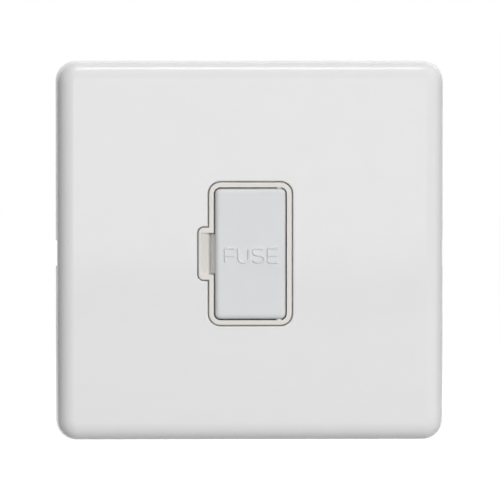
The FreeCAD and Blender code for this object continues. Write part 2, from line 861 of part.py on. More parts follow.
def pry_recess(body):
    """Cut the scooped recess in the tab, falling from the tab's rim to the carrier's edge."""
    scoop = plan_sketch(body, "recess_height / 2")
    outer = f"-({TAB_SIDE} - recess_margin)"
    inner = "-(opening_width / 2 + recess_relief)"
    bend = f"{inner} - recess_bend"
    points = [
        (outer, "-plate_depth - recess_step"),
        (outer, "-plate_depth + recess_step"),
        (bend, "-plate_depth + recess_step + recess_fall"),
        (inner, "-plate_depth + recess_depth"),
        ("-opening_width / 2 + carrier_gap", "-plate_depth + recess_depth"),
        ("-opening_width / 2 + carrier_gap", "-plate_depth - recess_step"),
    ]
    add_outline(scoop, points)
    pocket(body, scoop, "recess_height")

    def is_bend(edge):
        box = edge.BoundBox
        upright = box.XLength < 1e-3 and box.YLength < 1e-3
        return upright and near(box.XMin, bend) and near(box.YMin, points[2][1])

    round_edges(body, "recess_round", is_bend)


def rear_cover():
    """The rear moulding: terminal cavities, wire entries, screw access and dividing ribs."""
    body = new_body("rear_cover")
    base = front_sketch(body, f"-{COVER_REAR}")
    half, top = "module_width / 2", "module_height / 2"
    add_rectangle(base, f"-{half}", f"-{top}", half, top)
    pad(body, base, "cover_depth")
    round_edges(body, "module_corner", runs_to_front)
    bevel_edges(body, "module_wall / 2", lambda edge: is_level(edge, f"-{COVER_REAR}"))

    depth = "cover_depth - cover_back"
    module_cavities(body, "-housing_depth", depth, False)
    middle = front_sketch(body, "-housing_depth")
    add_rectangle(middle, f"-{CAVITY_SIDE}", f"-{RIB_INNER}", CAVITY_SIDE, RIB_INNER)
    pocket(body, middle, depth)

    passages = [
        ("-terminal_pitch", "strip_width", "strip_level + strip_metal"),
        ("0", "earth_width", "earth_level + strip_metal"),
        ("terminal_pitch - strip_width / 2", "strip_width", "strip_level + strip_metal"),
    ]
    for column, width, end in passages:
        slots = front_sketch(body, "-housing_depth")
        half = f"({width} / 2 + strip_clearance)"
        for side in ("", "-"):
            heights = sorted([f"{side}{RIB_INNER}", f"{side}{CAVITY_INNER}"], key=measure)
            add_rectangle(slots, f"{column} - {half}", heights[0], f"{column} + {half}", heights[1])
        pocket(body, slots, f"{end} + strip_clearance - housing_depth")

    for low in (CAVITY_TOP, "-module_height / 2"):
        entries = plan_sketch(body, f"{low} + module_wall")
        for column in TERMINAL_COLUMNS:
            add_circle(entries, column, WIRE_Y, "wire_entry")
        pocket(body, entries, "module_wall")

    access = front_sketch(body, f"-{COVER_REAR}")
    for column, rise in TERMINAL_SPOTS:
        add_circle(access, column, rise, "clamp_access")
    pocket(body, access, "cover_back", along_normal=True)

    module_bosses(body, f"-{COVER_INSIDE}", depth)
    holes = front_sketch(body, f"-{COVER_REAR}")
    recesses = front_sketch(body, f"-{COVER_REAR}")
    for across, up in COVER_SCREW_SPOTS:
        add_circle(holes, across, up, "small_hole")
        add_circle(recesses, across, up, "small_head + head_play")
    pocket(body, holes, "cover_depth", along_normal=True)
    pocket(body, recesses, "head_recess", along_normal=True)


def fuse_carrier():
    """The hinged carrier: face, two sector cheeks with hinge pips, side wall and fuse ribs."""
    body = new_body("fuse_carrier")
    face = front_sketch(body, f"-{HINGE_Y}")
    add_rectangle(face, f"-{CARRIER_HALF}", f"-{CARRIER_TOP}", CARRIER_HALF, CARRIER_TOP)
    pad(body, face, "hinge_inset")
    round_edges(body, "opening_corner - carrier_gap", runs_to_front)
    round_edges(body, "carrier_round", lambda edge: is_level(edge, CARRIER_FRONT))

    swept = front_sketch(body, f"-{HINGE_Y}")
    swept.setExpression("AttachmentOffset.Base.x", cells(HINGE_X))
    corner = "(opening_corner - carrier_gap)"
    add_outline(
        swept,
        [
            (f"{corner} - {SWEEP}", f"-{CARRIER_TOP}"),
            ("0", f"-{CARRIER_TOP}"),
            ("0", CARRIER_TOP),
            (f"{corner} - {SWEEP}", CARRIER_TOP),
            (f"-{SWEEP}", f"{CARRIER_TOP} - {corner}"),
            (f"-{SWEEP}", f"{corner} - {CARRIER_TOP}"),
        ],
        arcs={
            3: (f"{corner} - {SWEEP}", f"{CARRIER_TOP} - {corner}"),
            5: (f"{corner} - {SWEEP}", f"{corner} - {CARRIER_TOP}"),
        },
    )
    sector = body.newObject("PartDesign::Revolution", "revolution")
    sector.Profile = swept
    sector.ReferenceAxis = (swept, ["V_Axis"])
    sector.Reversed = True
    bind(sector, Angle="stop_angle")
    finish(body, sector, True)

    right = f"{HINGE_X} + pip_radius"
    knuckle = plan_sketch(body, f"-{CARRIER_TOP}")
    add_outline(
        knuckle,
        [
            (HINGE_X, HINGE_Y),
            (right, HINGE_Y),
            (right, f"{HINGE_Y} + {SWEEP} / 3"),
            (HINGE_X, f"{HINGE_Y} + {SWEEP} / 2"),
        ],
    )
    pad(body, knuckle, f"2 * {CARRIER_TOP}")

    hollow = plan_sketch(body, f"{CARRIER_TOP} - cheek_wall")
    inner = f"({SWEEP} - carrier_wall)"
    turn = "carrier_wall_angle"
    reach = f"(2 * {SWEEP})"
    points = [
        (
            f"{HINGE_X} - sqrt({inner} ^ 2 - (carrier_face - hinge_inset) ^ 2)",
            f"-{CARRIER_BACK}",
        ),
        (f"{HINGE_X} - {inner} * cos({turn})", f"{HINGE_Y} + {inner} * sin({turn})"),
        (f"{HINGE_X} - {reach} * cos({turn})", f"{HINGE_Y} + {reach} * sin({turn})"),
        (f"{HINGE_X} - {reach} * cos({turn})", f"{HINGE_Y} + {reach}"),
        (f"{HINGE_X} + {reach}", f"{HINGE_Y} + {reach}"),
        (f"{HINGE_X} + {reach}", f"-{CARRIER_BACK}"),
    ]
    add_outline(hollow, points, arcs={0: (HINGE_X, HINGE_Y)})
    pocket(body, hollow, f"2 * ({CARRIER_TOP} - cheek_wall)")

    pry_lip(body)

    back, front = "(stop_angle - stop_lip_angle)", "stop_angle"
    reach = f"({SWEEP} + stop_lip)"
    root = f"({SWEEP} - carrier_wall)"
    for low in (f"{CARRIER_TOP} - cheek_wall", f"-{CARRIER_TOP}"):
        lip = plan_sketch(body, low)
        points = [
            (f"{HINGE_X} - {root} * cos({front})", f"{HINGE_Y} + {root} * sin({front})"),
            (f"{HINGE_X} - {reach} * cos({front})", f"{HINGE_Y} + {reach} * sin({front})"),
            (f"{HINGE_X} - {reach} * cos({back})", f"{HINGE_Y} + {reach} * sin({back})"),
            (f"{HINGE_X} - {root} * cos({back})", f"{HINGE_Y} + {root} * sin({back})"),
        ]
        add_outline(lip, points)
        pad(body, lip, "cheek_wall")

    pips = plan_sketch(body, f"{CARRIER_TOP} - cheek_wall")
    add_circle(pips, HINGE_X, HINGE_Y, "pip_radius")
    pip = "cheek_wall + carrier_gap + pip_length"
    pad(body, pips, pip)
    lower = plan_sketch(body, f"-({CARRIER_TOP} + carrier_gap + pip_length)")
    add_circle(lower, HINGE_X, HINGE_Y, "pip_radius")
    pad(body, lower, pip)

    for side in ("", "-"):
        rib = plan_sketch(body, f"{side}rib_place - rib_width / 2")
        half = "(fuse_radius + carrier_wall / 2)"
        add_rectangle(
            rib,
            f"-fuse_left - {half}",
            f"-{CARRIER_BACK}",
            f"-fuse_left + {half}",
            f"{FUSE_Y} + rib_grip",
        )
        pad(body, rib, "rib_width")
    seat = plan_sketch(body, "rib_place + rib_width / 2")
    add_circle(seat, "-fuse_left", FUSE_Y, "tube_radius")
    pocket(body, seat, "2 * rib_place + rib_width")


def pry_lip(body):
    """Add the sloped lip in the pry recess by which a screwdriver lifts the carrier."""
    lip = plan_sketch(body, "pry_gap - recess_height / 2")
    outer = f"-({CARRIER_HALF} + pry_reach)"
    root = f"carrier_wall / 2 - {CARRIER_HALF}"
    back = "recess_depth - plate_depth - pry_gap"
    front = f"{back} - pry_wall"
    crest = "carrier_round + pry_drop - plate_depth - carrier_proud"
    points = [
        (outer, back),
        (outer, front),
        (f"-{CARRIER_HALF}", crest),
        (root, crest),
        (root, back),
    ]
    add_outline(lip, points)
    pad(body, lip, "recess_height - 2 * pry_gap")

    def is_front_rim(edge):
        box = edge.BoundBox
        return near(box.XMin, outer) and near(box.XMax, outer) and near(box.YMax, front)

    round_edges(body, "pry_round", is_front_rim)


def cartridge_fuse():
    """The ceramic tube, its two metal caps and the wire between them."""
    half = "fuse_length / 2"
    inside = f"({half} - fuse_cap_end)"
    centre = ("-fuse_left", FUSE_Y)
    tube = upright_rod(*centre, "tube_radius", f"-{inside}", inside)
    bore = upright_rod(*centre, "tube_bore", f"-{inside}", inside)
    keep(subtract(tube, [bore]), "fuse_tube")
    for side, label in (("", "fuse_cap_top"), ("-", "fuse_cap_bottom")):
        ends = sorted([f"{side}({half})", f"{side}({half} - fuse_cap_length)"], key=measure)
        hollow = sorted([f"{side}{inside}", f"{side}({half} - fuse_cap_length)"], key=measure)
        cup = upright_rod(*centre, "fuse_radius", *ends)
        keep(subtract(cup, [upright_rod(*centre, "tube_radius", *hollow)]), label)
    keep(upright_rod(*centre, "fuse_wire_radius", f"-{inside}", inside), "fuse_wire")


def fuse_contact(side, label):
    """A spring clip behind one fuse cap, with its leg and its strip to the live terminal."""
    low = f"{side}clip_place - strip_width / 2"
    high = f"{side}clip_place + strip_width / 2"
    inner = "(fuse_radius + clip_gap)"
    outer = "(fuse_radius + clip_gap + clip_metal)"
    jaw = upright_rod("-fuse_left", FUSE_Y, outer, low, high)
    hole = upright_rod("-fuse_left", FUSE_Y, inner, low, high)
    # The clip opens along the path on which the fuse swings out about the hinge.
    turn = f"atan2({FUSE_Y} - {HINGE_Y}; {HINGE_X} + fuse_left)"
    for rod in (jaw, hole):
        rod.Placement = FreeCAD.Placement(
            rod.Placement.Base, FreeCAD.Rotation(FreeCAD.Vector(0, 0, 1), 0)
        )
        rod.setExpression("Placement.Rotation.Angle", cells(f"-({turn})"))
        rod.Angle = 180
    clip = subtract(jaw, [hole])
    strip_end = "strip_level + strip_metal"
    leg = block(
        "-strip_metal / 2",
        f"{FUSE_Y} + {inner}",
        low,
        "strip_metal / 2",
        strip_end,
        high,
    )
    level = block(
        "-terminal_pitch - strip_width / 2", "strip_level", low, "strip_metal / 2", strip_end, high
    )
    heights = sorted([f"{side}clip_place", f"{side}{TERMINAL_INNER}"], key=measure)
    riser = block(
        "-terminal_pitch - strip_width / 2",
        "strip_level",
        heights[0],
        "-terminal_pitch + strip_width / 2",
        strip_end,
        heights[1],
    )
    keep(join([clip, leg, level, riser]), label)


def terminal(column, rise, label, bonded=False):
    """A brass terminal block with its wire bore, clamp thread and, if bonded, a front thread."""
    half_width, half_height = "terminal_width / 2", "terminal_height / 2"
    back = "terminal_front + terminal_depth"
    body = block(
        f"{column} - {half_width}",
        "terminal_front",
        f"{rise} - {half_height}",
        f"{column} + {half_width}",
        back,
        f"{rise} + {half_height}",
    )
    ends = (f"{rise} - {half_height}", f"{rise} + {half_height}")
    bore = upright_rod(column, WIRE_Y, "wire_bore", *ends)
    tools = [bore, deep_rod(column, rise, "clamp_radius", WIRE_Y, back)]
    if bonded:
        end = "terminal_front + bond_bite"
        tools.append(deep_rod("0", "bond_rise", "bond_radius", "terminal_front", end))
    keep(subtract(body, tools), label)


def conductors():
    """Contacts, terminals and the strips that join them."""
    fuse_contact("", "supply_fuse_contact")
    fuse_contact("-", "load_fuse_contact")
    names = ("line", "earth", "neutral")
    for side, place_name in (("", "supply"), ("-", "load")):
        for column, name in zip(TERMINAL_COLUMNS, names):
            bonded = name == "earth" and place_name == "supply"
            terminal(column, f"{side}terminal_rise", f"{place_name}_{name}_terminal", bonded)
    keep(
        block(
            "terminal_pitch - strip_width",
            "strip_level",
            f"-{TERMINAL_INNER}",
            "terminal_pitch",
            "strip_level + strip_metal",
            TERMINAL_INNER,
        ),
        "neutral_bar",
    )
    keep(
        block(
            "-earth_width / 2",
            "earth_level",
            f"-{TERMINAL_INNER}",
            "earth_width / 2",
            "earth_level + strip_metal",
            TERMINAL_INNER,
        ),
        "earth_bar",
    )


def fasteners():
    """Terminal screws, frame screws, cover screws and the earth bonding screw."""
    seat = f"{CLAMP_TIP} + clamp_length"
    clamps = [
        screw(column, rise, "clamp_radius", "clamp_head", CLAMP_TIP, seat, "clamp_head_height")
        for column, rise in TERMINAL_SPOTS
    ]
    group(clamps, "terminal_screws")
    front = "-frame_metal"
    frame_screws = [
        screw(*where, "small_screw", "small_head", "frame_screw_length", front, "small_head_height")
        for where in SCREW_SPOTS
    ]
    group(frame_screws, "frame_screws")
    tip = "housing_depth - cover_screw_bite"
    seat = f"{COVER_REAR} - head_recess"
    cover_screws = [
        screw(*where, "small_screw", "small_head", tip, seat, "small_head_height")
        for where in COVER_SCREW_SPOTS
    ]
    group(cover_screws, "cover_screws")
    tip = "terminal_front + bond_bite"
    bond = screw("0", "bond_rise", "bond_radius", "bond_head", tip, front, "bond_head_height")
    keep(bond, "earth_bond_screw")


def bonding_spring():
    """The leaf spring that earths the metal plate from the frame, and its rivet."""
    body = new_body("plate_earth_spring")
    leaf = plan_sketch(body, "spring_low")
    bend = "spring_left + spring_foot"
    crest = f"{bend} + spring_run"
    end = f"{crest} + spring_tail"
    top = PLATE_INSIDE
    points = [
        ("spring_left", "-frame_metal"),
        (bend, "-frame_metal"),
        (crest, f"-{top} + spring_metal"),
        (end, f"-{top} + spring_dip + spring_metal"),
        (end, f"-{top} + spring_dip"),
        (crest, f"-{top}"),
        (bend, "-frame_metal - spring_metal"),
        ("spring_left", "-frame_metal - spring_metal"),
    ]
    add_outline(leaf, points)
    pad(body, leaf, "spring_width")
    middle = ("spring_left + spring_foot / 2", "spring_low + spring_width / 2")
    hole = front_sketch(body, "frame_metal")
    add_circle(hole, *middle, "rivet_radius")
    pocket(body, hole, "spring_metal", along_normal=True)
    face = "-frame_metal - spring_metal"
    shank = deep_rod(*middle, "rivet_radius", face, "0")
    head = deep_rod(*middle, "rivet_head", f"{face} - rivet_head_height", face)
    keep(join([shank, head]), "spring_rivet")


def check_document():
    """Stop if any object failed or any sub-part has no valid closed shape."""
    document.recompute()
    for item in document.Objects:
        if "Invalid" in item.State or "Error" in item.State:
            raise RuntimeError(f"{item.Label} failed: {item.State}")
    for node in nodes:
        if node.Shape.isNull() or not node.Shape.isValid() or not node.Shape.Solids:
            raise RuntimeError(f"{node.Label} has no valid solid")


def export_nodes():
    """Write each sub-part to its own STEP file and print its size."""
    os.makedirs("parts", exist_ok=True)
    for node in nodes:
        node.Shape.exportStep(f"parts/{node.Label}.step")
        print(f"{node.Label}: {len(node.Shape.Solids)} solid(s), {node.Shape.Volume:.2f} mm3")


front_plate()
plate_liner()
mounting_frame()
module_housing()
rear_cover()
fuse_carrier()
cartridge_fuse()
conductors()
fasteners()
bonding_spring()
check_document()
export_nodes()
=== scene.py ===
import json
import math

import bmesh
import bpy
import numpy as np
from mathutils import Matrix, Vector


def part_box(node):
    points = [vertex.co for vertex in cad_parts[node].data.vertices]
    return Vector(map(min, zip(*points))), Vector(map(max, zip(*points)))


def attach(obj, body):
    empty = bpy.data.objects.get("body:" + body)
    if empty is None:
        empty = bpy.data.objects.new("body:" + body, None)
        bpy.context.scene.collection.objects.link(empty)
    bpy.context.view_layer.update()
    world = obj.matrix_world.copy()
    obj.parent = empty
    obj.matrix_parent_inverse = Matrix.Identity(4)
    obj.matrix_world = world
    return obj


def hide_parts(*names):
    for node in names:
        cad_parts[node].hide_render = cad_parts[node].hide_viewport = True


# A fused spur unit with a screwless painted plate, a moulded module and a hinged fuse carrier.
# Lengths in metres; +Z is up and the front faces -Y.

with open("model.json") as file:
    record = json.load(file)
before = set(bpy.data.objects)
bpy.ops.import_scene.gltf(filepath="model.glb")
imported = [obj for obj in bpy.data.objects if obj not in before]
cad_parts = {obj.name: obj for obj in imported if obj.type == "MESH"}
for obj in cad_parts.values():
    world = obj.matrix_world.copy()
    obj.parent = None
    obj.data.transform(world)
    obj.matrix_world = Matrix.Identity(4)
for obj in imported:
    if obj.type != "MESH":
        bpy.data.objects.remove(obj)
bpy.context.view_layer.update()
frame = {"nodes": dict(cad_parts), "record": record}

MM = 0.001

# The photograph's frame
PHOTO_PIXELS = 500
PIXELS_PER_MM = 4.435
AIM_ACROSS = -0.08 * MM
AIM_UP = 0.86 * MM
CAMERA_DISTANCE = 1.3
CAMERA_PITCH = math.radians(2.0)
CAMERA_YAW = math.radians(1.5)
SENSOR_WIDTH = 36.0

# Studio
SKY_LEVEL = 0.03
SKY_OVERHEAD = 0.3
SKY_FOCUS = 8
FLOOR_DROP = 0.12
FLOOR_RADIUS = 6.0
FLOOR_STEPS = 96
FLOOR_BOUNCE = 0.2
FLOOR_SHADE = 0.45
FLOOR_GLOW = 0.952
LAMPS = {
    # name: bearing, rise, distance, width, height, power, whether the object's gloss shows it
    "strip_lamp": (0, 82, 1.5, 0.4, 0.42, 4.4, True),
    "back_lamp": (0, 112, 1.8, 1.2, 0.6, 8.0, False),
    "front_lamp": (0, 4.2, 1.8, 0.6, 0.41, 2.0, True),
    "key_lamp": (14, 9, 3.0, 2.4, 1.4, 76.5, False),
    "side_lamp": (72, 5, 1.8, 0.7, 0.9, 2.4, True),
    "rear_left_lamp": (205, 25, 2.2, 1.2, 0.8, 17.0, False),
    "rear_right_lamp": (155, 25, 2.2, 1.2, 0.8, 17.0, False),
}

plate_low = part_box("front_plate")[0]
PLATE_FRONT = plate_low.y
CARRIER_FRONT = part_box("fuse_carrier")[0].y
COVER_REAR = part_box("rear_cover")[1].y


def srgb(red, green, blue):
    """Turn a colour of 0 to 255 into the linear colour that renders as it."""
    shares = np.array([red, green, blue]) / 255.0
    linear = np.where(shares <= 0.04045, shares / 12.92, ((shares + 0.055) / 1.055) ** 2.4)
    return (*linear.tolist(), 1.0)


# Materials

PATTERN_LOW = 0.3
PATTERN_HIGH = 0.7


class Finish:
    """A procedural material: one shader and the pattern nodes that feed it."""

    def __init__(self, name, colour, roughness, **sockets):
        self.material = bpy.data.materials.new(name)
        self.material.use_nodes = True
        self.tree = self.material.node_tree
        self.shader = self.tree.nodes["Principled BSDF"]
        self.shader.inputs["Base Color"].default_value = colour
        self.shader.inputs["Roughness"].default_value = roughness
        for socket, value in sockets.items():
            self.shader.inputs[socket.replace("_", " ")].default_value = value
        self.place = self.add("ShaderNodeTexCoord").outputs["Object"]

    def add(self, kind, feeds=None, **settings):
        """Add a node, set its properties and feed its inputs from values or other nodes."""
        node = self.tree.nodes.new(kind)
        for key, value in settings.items():
            setattr(node, key, value)
        for key, value in (feeds or {}).items():
            if isinstance(value, bpy.types.NodeSocket):
                self.tree.links.new(value, node.inputs[key])
            else:
                node.inputs[key].default_value = value
        return node

    def stretched(self, across, depth, up):
        """Return the place on the piece with each direction stretched by a factor."""
        feeds = {"Vector": self.place, "Scale": (across, depth, up)}
        return self.add("ShaderNodeMapping", feeds).outputs["Vector"]

    def noise(self, scale, detail=3.0, place=None):
        """Return a cloudy pattern with that many waves to a metre."""
        feeds = {"Vector": place or self.place, "Scale": scale, "Detail": detail}
        return self.add("ShaderNodeTexNoise", feeds).outputs["Fac"]

    def grains(self, scale):
        """Return a random level for each crystal of a pattern."""
        feeds = {"Vector": self.place, "Scale": scale}
        return self.add("ShaderNodeTexVoronoi", feeds).outputs["Color"]

    def spread(self, pattern, low, high):
        """Carry a pattern's middle levels over to low to high."""
        feeds = {"Value": pattern, "From Min": PATTERN_LOW, "From Max": PATTERN_HIGH}
        feeds.update({"To Min": low, "To Max": high})
        return self.add("ShaderNodeMapRange", feeds).outputs["Result"]

    def tint(self, pattern, first, second):
        """Colour the surface from first to second along a pattern."""
        level = self.spread(pattern, 0.0, 1.0)
        mix = self.add("ShaderNodeMix", data_type="RGBA")
        self.tree.links.new(level, mix.inputs["Factor"])
        ends = [socket for socket in mix.inputs if socket.type == "RGBA"]
        ends[0].default_value, ends[1].default_value = first, second
        result = [socket for socket in mix.outputs if socket.type == "RGBA"][0]
        self.tree.links.new(result, self.shader.inputs["Base Color"])

    def vary_roughness(self, pattern, low, high):
        """Spread the roughness between two values along a pattern."""
        self.tree.links.new(self.spread(pattern, low, high), self.shader.inputs["Roughness"])

    def raise_bumps(self, *layers):
        """Stack bump layers, each a pattern and its height in metres."""
        normal = None
        for pattern, height in layers:
            feeds = {"Height": pattern, "Distance": height, "Strength": 1.0}
            if normal:
                feeds["Normal"] = normal
            normal = self.add("ShaderNodeBump", feeds).outputs["Normal"]
        self.tree.links.new(normal, self.shader.inputs["Normal"])


def sprayed_paint():
    """Semi-gloss white spray coat with faint orange peel."""
    gloss = {"Coat_Weight": 0.5, "Coat_Roughness": 0.06, "Specular_IOR_Level": 0.1}
    finish = Finish("plate_paint", srgb(230, 230, 230), 0.5, **gloss)
    finish.tint(finish.noise(160, 2), srgb(229, 230, 229), srgb(231, 231, 231))
    finish.vary_roughness(finish.noise(420, 2), 0.45, 0.55)
    finish.raise_bumps((finish.noise(900, 1), 0.7e-6), (finish.noise(260, 1), 0.9e-6))
    return finish.material


def moulding(name, light, dark, roughness):
    """Moulded thermoset: two close shades in soft clouds, with a fine eroded grain."""
    finish = Finish(name, light, roughness, Specular_IOR_Level=0.3)
    finish.tint(finish.noise(120, 3), dark, light)
    finish.vary_roughness(finish.noise(900, 3), roughness - 0.05, roughness + 0.06)
    finish.raise_bumps((finish.noise(5200, 2), 1.2e-6), (finish.noise(380, 1), 1.6e-6))
    return finish.material


def zinc_plate():
    """Passivated zinc on rolled steel: faint crystals under fine rolling streaks."""
    finish = Finish("zinc_steel", srgb(176, 180, 184), 0.36, Metallic=1.0)
    streaks = finish.noise(900, 4, finish.stretched(0.06, 1.0, 1.0))
    finish.tint(finish.grains(1900), srgb(172, 176, 180), srgb(190, 193, 196))
    finish.vary_roughness(streaks, 0.3, 0.46)
    finish.raise_bumps((streaks, 2.0e-6), (finish.noise(300, 2), 3.0e-6))
    return finish.material


def turned_metal(name, light, dark, roughness, along):
    """Bare metal with drawn or turned marks, stretched along one direction."""
    finish = Finish(name, light, roughness, Metallic=1.0)
    marks = finish.noise(2600, 3, finish.stretched(*along))
    finish.tint(finish.noise(340, 3), dark, light)
    finish.vary_roughness(marks, roughness - 0.06, roughness + 0.1)
    finish.raise_bumps((marks, 1.6e-6))
    return finish.material


def fired_ceramic():
    """Glazed off-white ceramic with faint specks."""
    gloss = {"Coat_Weight": 0.4, "Coat_Roughness": 0.15}
    finish = Finish("fuse_ceramic", srgb(232, 229, 220), 0.28, **gloss)
    finish.tint(finish.noise(1500, 4), srgb(226, 222, 212), srgb(236, 233, 226))
    finish.raise_bumps((finish.noise(700, 2), 2.0e-6))
    return finish.material


MOULDINGS = {
    # name: lighter shade, darker shade, roughness
    "bezel_moulding": ((228, 225, 220), (225, 222, 217), 0.34),
    "carrier_moulding": ((222, 223, 224), (219, 220, 221), 0.36),
    "liner_moulding": ((214, 213, 208), (210, 209, 204), 0.45),
    "cover_moulding": ((215, 213, 207), (211, 209, 203), 0.42),
}
METALS = {
    # name: lighter shade, darker shade, roughness, stretch of the marks
    "terminal_brass": ((214, 180, 108), (196, 158, 88), 0.3, (1.0, 1.0, 0.1)),
    "strip_brass": ((210, 174, 104), (190, 152, 84), 0.34, (1.0, 1.0, 0.08)),
    "spring_bronze": ((206, 150, 104), (186, 130, 86), 0.32, (0.1, 1.0, 1.0)),
    "screw_steel": ((196, 198, 202), (172, 175, 180), 0.3, (1.0, 1.0, 1.0)),
    "clamp_screw_brass": ((216, 184, 116), (198, 162, 94), 0.28, (1.0, 1.0, 1.0)),
    "fuse_cap_metal": ((206, 204, 198), (184, 182, 178), 0.26, (1.0, 1.0, 0.2)),
    "fuse_element": ((220, 222, 224), (204, 206, 210), 0.25, (1.0, 1.0, 1.0)),
}


def make_finishes():
    """Return the material of each slot by its name."""
    finishes = {"plate_paint": sprayed_paint()}
    for name, (light, dark, roughness) in MOULDINGS.items():
        finishes[name] = moulding(name, srgb(*light), srgb(*dark), roughness)
    finishes["zinc_steel"] = zinc_plate()
    for name, (light, dark, roughness, along) in METALS.items():
        finishes[name] = turned_metal(name, srgb(*light), srgb(*dark), roughness, along)
    finishes["fuse_ceramic"] = fired_ceramic()
    return finishes


def slot_of(node):
    """Return the material slot that the record gives a node."""
    return next(p["material_slot"] for p in frame["record"]["subparts"] if p["node"] == node)


def dress_cad_nodes(finishes):
    """Give each carried-over piece the finish of its slot in the record."""
    for node, piece in frame["nodes"].items():
        piece.data.materials.clear()
        piece.data.materials.append(finishes[slot_of(node)])


SOFT_EDGES = {
    "rear_cover": 0.2 * MM,
    "plate_liner": 0.15 * MM,
    "mounting_frame": 0.12 * MM,
    "spring_rivet": 0.2 * MM,
    "neutral_bar": 0.1 * MM,
    "earth_bar": 0.1 * MM,
}
EDGE_TURN = math.radians(35)


def soften_edges(name, width):
    """Bevel a carried-over piece's sharp edges a little, as machining or moulding leaves them."""
    bevel = frame["nodes"][name].modifiers.new("soft_edges", "BEVEL")
    bevel.width = width
    bevel.segments = 2
    bevel.limit_method = "ANGLE"
    bevel.angle_limit = EDGE_TURN
    bevel.harden_normals = True


# Camera, floor and light


def place_camera():
    """Look at the plate's face from ahead, slightly above and to the left, as in the photo."""
    aim = Vector((AIM_ACROSS, PLATE_FRONT, AIM_UP))
    level = math.cos(CAMERA_PITCH)
    away = Vector(
        (-math.sin(CAMERA_YAW) * level, -math.cos(CAMERA_YAW) * level, math.sin(CAMERA_PITCH))
    )
    data = bpy.data.cameras.new("camera")
    data.sensor_width = SENSOR_WIDTH
    data.lens = SENSOR_WIDTH * CAMERA_DISTANCE * PIXELS_PER_MM / (PHOTO_PIXELS * MM)
    data.clip_end = 50
    camera = bpy.data.objects.new("camera", data)
    camera.location = aim + away * CAMERA_DISTANCE
    camera.rotation_euler = (-away).to_track_quat("-Z", "Y").to_euler()
    bpy.context.scene.collection.objects.link(camera)
    bpy.context.scene.camera = camera


def direct_view(finish_tree):
    """Return a socket that is 1 for camera, glossy and transmitted rays and 0 for others."""
    path = finish_tree.nodes.new("ShaderNodeLightPath")
    total = path.outputs["Is Camera Ray"]
    for name in ("Is Glossy Ray", "Is Transmission Ray"):
        either = finish_tree.nodes.new("ShaderNodeMath")
        either.operation = "MAXIMUM"
        finish_tree.links.new(total, either.inputs[0])
        finish_tree.links.new(path.outputs[name], either.inputs[1])
        total = either.outputs[0]
    return total


def light_sky():
    """Light the room dimly, brighter overhead; the eye and reflections see it plain white."""
    world = bpy.data.worlds.new("studio")
    bpy.context.scene.world = world
    world.use_nodes = True
    tree = world.node_tree
    tree.nodes.clear()

    def calculate(operation, first, second):
        node = tree.nodes.new("ShaderNodeMath")
        node.operation = operation
        for socket, value in zip(node.inputs, (first, second)):
            if isinstance(value, bpy.types.NodeSocket):
                tree.links.new(value, socket)
            else:
                socket.default_value = value
        return node.outputs[0]

    place = tree.nodes.new("ShaderNodeTexCoord")
    parts = tree.nodes.new("ShaderNodeSeparateXYZ")
    tree.links.new(place.outputs["Generated"], parts.inputs[0])
    upwards = calculate("POWER", calculate("MAXIMUM", parts.outputs["Z"], 0.0), SKY_FOCUS)
    level = calculate("ADD", calculate("MULTIPLY", upwards, SKY_OVERHEAD), SKY_LEVEL)
    mix = tree.nodes.new("ShaderNodeMixShader")
    tree.links.new(direct_view(tree), mix.inputs["Fac"])
    for number, strength in enumerate((level, 1.0), start=1):
        background = tree.nodes.new("ShaderNodeBackground")
        background.inputs["Color"].default_value = (1, 1, 1, 1)
        if isinstance(strength, bpy.types.NodeSocket):
            tree.links.new(strength, background.inputs["Strength"])
        else:
            background.inputs["Strength"].default_value = strength
        tree.links.new(background.outputs[0], mix.inputs[number])
    output = tree.nodes.new("ShaderNodeOutputWorld")
    tree.links.new(mix.outputs[0], output.inputs["Surface"])


def add_lamp(name, bearing, rise, distance, width, height, power, mirrored):
    """Add a soft lamp; bearing turns to the right of the camera and rise is above the floor.

    A lamp that isn't mirrored lights the object but doesn't show in its gloss.
    """
    data = bpy.data.lights.new(name, "AREA")
    data.shape = "RECTANGLE"
    data.size, data.size_y = width, height
    data.energy = power
    lamp = bpy.data.objects.new(name, data)
    lamp.visible_camera = False
    lamp.visible_glossy = mirrored
    turn, lift = math.radians(bearing), math.radians(rise)
    away = Vector(
        (math.sin(turn) * math.cos(lift), -math.cos(turn) * math.cos(lift), math.sin(lift))
    )
    lamp.location = Vector((0, PLATE_FRONT, AIM_UP)) + away * distance
    lamp.rotation_euler = (-away).to_track_quat("-Z", "Y").to_euler()
    bpy.context.scene.collection.objects.link(lamp)


